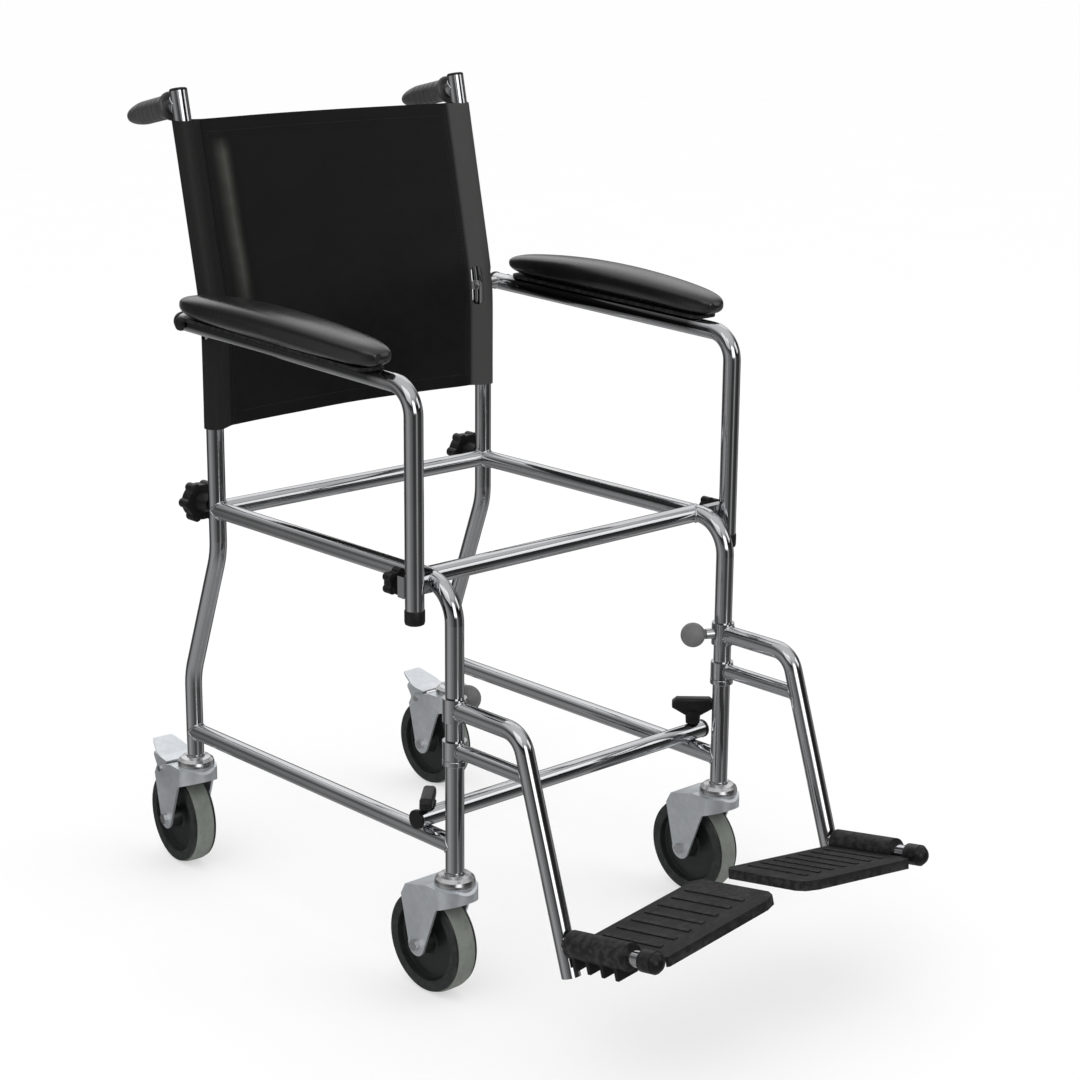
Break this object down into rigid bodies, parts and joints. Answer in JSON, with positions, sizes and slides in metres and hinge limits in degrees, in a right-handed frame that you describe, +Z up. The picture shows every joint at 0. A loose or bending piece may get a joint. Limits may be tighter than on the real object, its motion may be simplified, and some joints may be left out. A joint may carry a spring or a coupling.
{
  "type": "attendant wheelchair",
  "caption": "Chromed attendant wheelchair with an open seat frame, sling back, flip-up armrests, swing-away footrests and braked castors.",
  "frame": {"origin": "on the floor under the middle of the overall outline (X and Y middle of the bounding box, bottom of the tyres)", "axes": "+Z up; the chair faces -Y, so the footrests are at -Y and the push handles at +Y; +X is the left hand side of the person sitting in it"},
  "size_m": [0.6042, 0.959, 1.0203],
  "materials": {
    "chromed_tube": "bright chromium plate over 22 mm steel tube",
    "bright_steel": "zinc plated fasteners and castor stems",
    "zinc_steel": "zinc plated pressed steel",
    "black_vinyl_sling": "black coated cloth, fine grain",
    "black_pad": "black self-skinned foam, slight sheen",
    "black_grip": "black moulded vinyl",
    "black_plastic": "black moulding",
    "footplate_plastic": "charcoal moulding",
    "wheel_black": "black moulding",
    "grey_tyre": "pale grey rubber",
    "grey_knob": "mid grey moulding"
  },
  "bodies": {
    "chair_frame": {"armrest_pivot_bolts": "bright_steel", "armrest_post_cradle_left": "chromed_tube", "armrest_post_cradle_right": "chromed_tube", "back_sling": "black_vinyl_sling", "back_sling_screws": "bright_steel", "back_upright_and_rear_leg_left": "chromed_tube", "back_upright_and_rear_leg_right": "chromed_tube", "castor_stems": "bright_steel", "crossbar_end_caps": "black_plastic", "hanger_support_collars": "chromed_tube", "lower_front_crossbar": "chromed_tube", "lower_side_rail_left": "chromed_tube", "lower_side_rail_right": "chromed_tube", "push_grip_left": "black_grip", "push_grip_right": "black_grip", "seat_front_rail": "chromed_tube", "seat_rear_rail": "chromed_tube", "seat_side_rail_and_front_leg_left": "chromed_tube", "seat_side_rail_and_front_leg_right": "chromed_tube", "upright_top_plugs": "black_plastic"},
    "castor_front_right_swivel": {"castor_front_right_fork": "zinc_steel", "castor_front_right_axle_bolt": "bright_steel"},
    "castor_front_right_wheel": {"castor_front_right_wheel_centre": "wheel_black", "castor_front_right_tyre": "grey_tyre"},
    "castor_front_left_swivel": {"castor_front_left_fork": "zinc_steel", "castor_front_left_axle_bolt": "bright_steel"},
    "castor_front_left_wheel": {"castor_front_left_wheel_centre": "wheel_black", "castor_front_left_tyre": "grey_tyre"},
    "castor_rear_right_swivel": {"castor_rear_right_fork": "zinc_steel", "castor_rear_right_axle_bolt": "bright_steel", "castor_rear_right_brake_pin": "bright_steel"},
    "castor_rear_right_wheel": {"castor_rear_right_wheel_centre": "wheel_black", "castor_rear_right_tyre": "grey_tyre"},
    "castor_rear_right_brake": {"castor_rear_right_brake_pedal": "zinc_steel"},
    "castor_rear_left_swivel": {"castor_rear_left_fork": "zinc_steel", "castor_rear_left_axle_bolt": "bright_steel", "castor_rear_left_brake_pin": "bright_steel"},
    "castor_rear_left_wheel": {"castor_rear_left_wheel_centre": "wheel_black", "castor_rear_left_tyre": "grey_tyre"},
    "castor_rear_left_brake": {"castor_rear_left_brake_pedal": "zinc_steel"},
    "armrest_right": {"armrest_tube_right": "chromed_tube", "armrest_pad_base_right": "black_plastic", "armrest_pad_right": "black_pad"},
    "armrest_lock_right": {"armrest_lock_knob_right": "black_plastic"},
    "rear_knob_right": {"rear_star_knob_right": "black_plastic"},
    "crossbar_knob_right": {"crossbar_wing_knob_right": "black_plastic"},
    "footrest_right": {"footrest_hanger_right": "chromed_tube", "footplate_tube_cap_right": "black_plastic"},
    "footrest_latch_right": {"hanger_latch_knob_right": "grey_knob"},
    "footplate_right_board": {"footplate_right": "footplate_plastic"},
    "armrest_left": {"armrest_tube_left": "chromed_tube", "armrest_pad_base_left": "black_plastic", "armrest_pad_left": "black_pad"},
    "armrest_lock_left": {"armrest_lock_knob_left": "black_plastic"},
    "rear_knob_left": {"rear_star_knob_left": "black_plastic"},
    "crossbar_knob_left": {"crossbar_wing_knob_left": "black_plastic"},
    "footrest_left": {"footrest_hanger_left": "chromed_tube", "footplate_tube_cap_left": "black_plastic"},
    "footrest_latch_left": {"hanger_latch_knob_left": "grey_knob"},
    "footplate_left_board": {"footplate_left": "footplate_plastic"}
  },
  "joints": [
    {"name": "castor_front_right_swivel_turn", "type": "hinge", "parent": "chair_frame", "child": "castor_front_right_swivel", "pos_m": [-0.221, -0.14423, 0.15], "axis": [0, 0, 1], "continuous": true},
    {"name": "castor_front_right_wheel_roll", "type": "hinge", "parent": "castor_front_right_swivel", "child": "castor_front_right_wheel", "pos_m": [-0.221, -0.10523, 0.0625], "axis": [1, 0, 0], "continuous": true},
    {"name": "castor_front_left_swivel_turn", "type": "hinge", "parent": "chair_frame", "child": "castor_front_left_swivel", "pos_m": [0.221, -0.14423, 0.15], "axis": [0, 0, 1], "continuous": true},
    {"name": "castor_front_left_wheel_roll", "type": "hinge", "parent": "castor_front_left_swivel", "child": "castor_front_left_wheel", "pos_m": [0.221, -0.10523, 0.0625], "axis": [1, 0, 0], "continuous": true},
    {"name": "castor_rear_right_swivel_turn", "type": "hinge", "parent": "chair_frame", "child": "castor_rear_right_swivel", "pos_m": [-0.221, 0.37777, 0.15], "axis": [0, 0, 1], "continuous": true},
    {"name": "castor_rear_right_wheel_roll", "type": "hinge", "parent": "castor_rear_right_swivel", "child": "castor_rear_right_wheel", "pos_m": [-0.21692, 0.41656, 0.0625], "axis": [0.9945, -0.1045, 0], "continuous": true},
    {"name": "castor_rear_right_brake_press", "type": "hinge", "parent": "castor_rear_right_swivel", "child": "castor_rear_right_brake", "pos_m": [-0.21577, 0.4275, 0.1292], "axis": [-0.9945, 0.1045, 0], "range_deg": [0, 10]},
    {"name": "castor_rear_left_swivel_turn", "type": "hinge", "parent": "chair_frame", "child": "castor_rear_left_swivel", "pos_m": [0.221, 0.37777, 0.15], "axis": [0, 0, 1], "continuous": true},
    {"name": "castor_rear_left_wheel_roll", "type": "hinge", "parent": "castor_rear_left_swivel", "child": "castor_rear_left_wheel", "pos_m": [0.221, 0.41677, 0.0625], "axis": [1, 0, 0], "continuous": true},
    {"name": "castor_rear_left_brake_press", "type": "hinge", "parent": "castor_rear_left_swivel", "child": "castor_rear_left_brake", "pos_m": [0.221, 0.42777, 0.1292], "axis": [-1, 0, 0], "range_deg": [0, 10]},
    {"name": "armrest_right_flip_up", "type": "hinge", "parent": "chair_frame", "child": "armrest_right", "pos_m": [-0.2547, 0.31377, 0.742], "axis": [-1, 0, 0], "range_deg": [0, 95]},
    {"name": "armrest_lock_right_unscrew", "type": "hinge", "parent": "chair_frame", "child": "armrest_lock_right", "pos_m": [-0.2547, -0.08123, 0.5], "axis": [0, -1, 0], "range_deg": [0, 360]},
    {"name": "rear_knob_right_unscrew", "type": "hinge", "parent": "chair_frame", "child": "rear_knob_right", "pos_m": [-0.221, 0.33977, 0.506], "axis": [0, -1, 0], "range_deg": [0, 360]},
    {"name": "crossbar_knob_right_unscrew", "type": "hinge", "parent": "chair_frame", "child": "crossbar_knob_right", "pos_m": [-0.221, -0.09623, 0.24], "axis": [0, 0, 1], "range_deg": [0, 360]},
    {"name": "footrest_right_swing_away", "type": "hinge", "parent": "chair_frame", "child": "footrest_right", "pos_m": [-0.221, -0.14423, 0.34], "axis": [0, 0, -1], "range_deg": [0, 90]},
    {"name": "footrest_latch_right_pull", "type": "slide", "parent": "footrest_right", "child": "footrest_latch_right", "axis": [0.8893, 0.4573, 0], "range_m": [0, 0.006], "stiffness_N_per_m": 600},
    {"name": "footplate_right_flip_up", "type": "hinge", "parent": "footrest_right", "child": "footplate_right_board", "pos_m": [-0.221, -0.38822, 0.14442], "axis": [0, -0.9848, 0.1736], "range_deg": [0, 90]},
    {"name": "armrest_left_flip_up", "type": "hinge", "parent": "chair_frame", "child": "armrest_left", "pos_m": [0.2547, 0.31377, 0.742], "axis": [-1, 0, 0], "range_deg": [0, 95]},
    {"name": "armrest_lock_left_unscrew", "type": "hinge", "parent": "chair_frame", "child": "armrest_lock_left", "pos_m": [0.2547, -0.08123, 0.5], "axis": [0, -1, 0], "range_deg": [0, 360]},
    {"name": "rear_knob_left_unscrew", "type": "hinge", "parent": "chair_frame", "child": "rear_knob_left", "pos_m": [0.221, 0.33977, 0.506], "axis": [0, -1, 0], "range_deg": [0, 360]},
    {"name": "crossbar_knob_left_unscrew", "type": "hinge", "parent": "chair_frame", "child": "crossbar_knob_left", "pos_m": [0.221, -0.09623, 0.24], "axis": [0, 0, 1], "range_deg": [0, 360]},
    {"name": "footrest_left_swing_away", "type": "hinge", "parent": "chair_frame", "child": "footrest_left", "pos_m": [0.221, -0.14423, 0.34], "axis": [0, 0, 1], "range_deg": [0, 90]},
    {"name": "footrest_latch_left_pull", "type": "slide", "parent": "footrest_left", "child": "footrest_latch_left", "axis": [-0.8893, 0.4573, 0], "range_m": [0, 0.006], "stiffness_N_per_m": 600},
    {"name": "footplate_left_flip_up", "type": "hinge", "parent": "footrest_left", "child": "footplate_left_board", "pos_m": [0.221, -0.38822, 0.14442], "axis": [0, 0.9848, -0.1736], "range_deg": [0, 90]}
  ]
}
